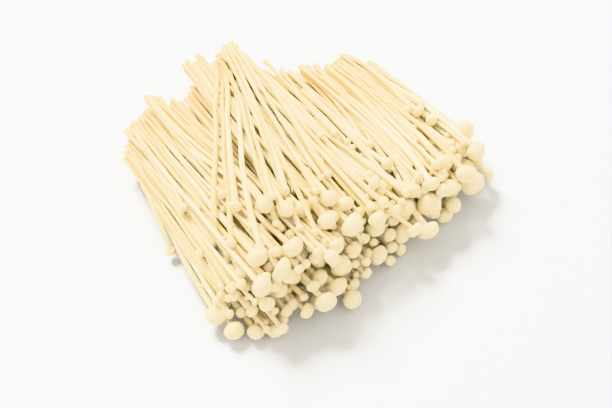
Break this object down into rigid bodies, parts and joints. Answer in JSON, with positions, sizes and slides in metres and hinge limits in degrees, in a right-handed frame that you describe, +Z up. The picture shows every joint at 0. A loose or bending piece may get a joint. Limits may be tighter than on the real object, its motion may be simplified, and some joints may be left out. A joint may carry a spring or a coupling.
{
  "type": "enoki mushroom bunch",
  "caption": "Bunch of long thin cream mushrooms with small round caps, root block cut off, parted into tufts and lying on its side.",
  "frame": {"origin": "middle of the bunch's box, in plan, on the surface that it lies on", "axes": "+Z up from the surface; the caps point towards -Y and a little +X, the cut feet towards +Y and -X"},
  "size_m": [0.1772, 0.1602, 0.0473],
  "materials": {
    "mushroom_flesh": "smooth moist mushroom flesh, cream, a little translucent"
  },
  "bodies": {
    "root": {"left_tuft_clump_01": "mushroom_flesh", "left_tuft_clump_02": "mushroom_flesh", "left_tuft_clump_03": "mushroom_flesh", "left_tuft_clump_04": "mushroom_flesh", "left_tuft_clump_05": "mushroom_flesh", "left_tuft_clump_06": "mushroom_flesh", "left_tuft_clump_07": "mushroom_flesh", "left_tuft_clump_08": "mushroom_flesh", "left_tuft_clump_09": "mushroom_flesh", "left_tuft_clump_10": "mushroom_flesh", "left_tuft_clump_11": "mushroom_flesh", "left_tuft_clump_12": "mushroom_flesh", "left_tuft_clump_13": "mushroom_flesh", "left_tuft_clump_14": "mushroom_flesh", "left_tuft_clump_15": "mushroom_flesh", "left_tuft_clump_16": "mushroom_flesh", "left_tuft_clump_17": "mushroom_flesh", "left_tuft_clump_18": "mushroom_flesh", "loose_bare_stem": "mushroom_flesh", "loose_leaning_mushroom": "mushroom_flesh", "loose_long_mushroom": "mushroom_flesh", "loose_small_mushroom": "mushroom_flesh", "middle_tuft_clump_01": "mushroom_flesh", "middle_tuft_clump_02": "mushroom_flesh", "middle_tuft_clump_03": "mushroom_flesh", "middle_tuft_clump_04": "mushroom_flesh", "middle_tuft_clump_05": "mushroom_flesh", "middle_tuft_clump_06": "mushroom_flesh", "middle_tuft_clump_07": "mushroom_flesh", "middle_tuft_clump_08": "mushroom_flesh", "middle_tuft_clump_09": "mushroom_flesh", "middle_tuft_clump_10": "mushroom_flesh", "middle_tuft_clump_11": "mushroom_flesh", "middle_tuft_clump_12": "mushroom_flesh", "middle_tuft_clump_13": "mushroom_flesh", "middle_tuft_clump_14": "mushroom_flesh", "middle_tuft_clump_15": "mushroom_flesh", "middle_tuft_clump_16": "mushroom_flesh", "middle_tuft_clump_17": "mushroom_flesh", "middle_tuft_clump_18": "mushroom_flesh", "middle_tuft_clump_19": "mushroom_flesh", "middle_tuft_clump_20": "mushroom_flesh", "right_tuft_clump_01": "mushroom_flesh", "right_tuft_clump_02": "mushroom_flesh", "right_tuft_clump_03": "mushroom_flesh", "right_tuft_clump_04": "mushroom_flesh", "right_tuft_clump_05": "mushroom_flesh", "right_tuft_clump_06": "mushroom_flesh", "right_tuft_clump_07": "mushroom_flesh", "right_tuft_clump_08": "mushroom_flesh", "right_tuft_clump_09": "mushroom_flesh", "right_tuft_clump_10": "mushroom_flesh", "right_tuft_clump_11": "mushroom_flesh", "right_tuft_clump_12": "mushroom_flesh", "right_tuft_clump_13": "mushroom_flesh", "right_tuft_clump_14": "mushroom_flesh", "right_tuft_clump_15": "mushroom_flesh", "right_tuft_clump_16": "mushroom_flesh", "right_tuft_clump_17": "mushroom_flesh", "right_tuft_clump_18": "mushroom_flesh"}
  },
  "joints": []
}
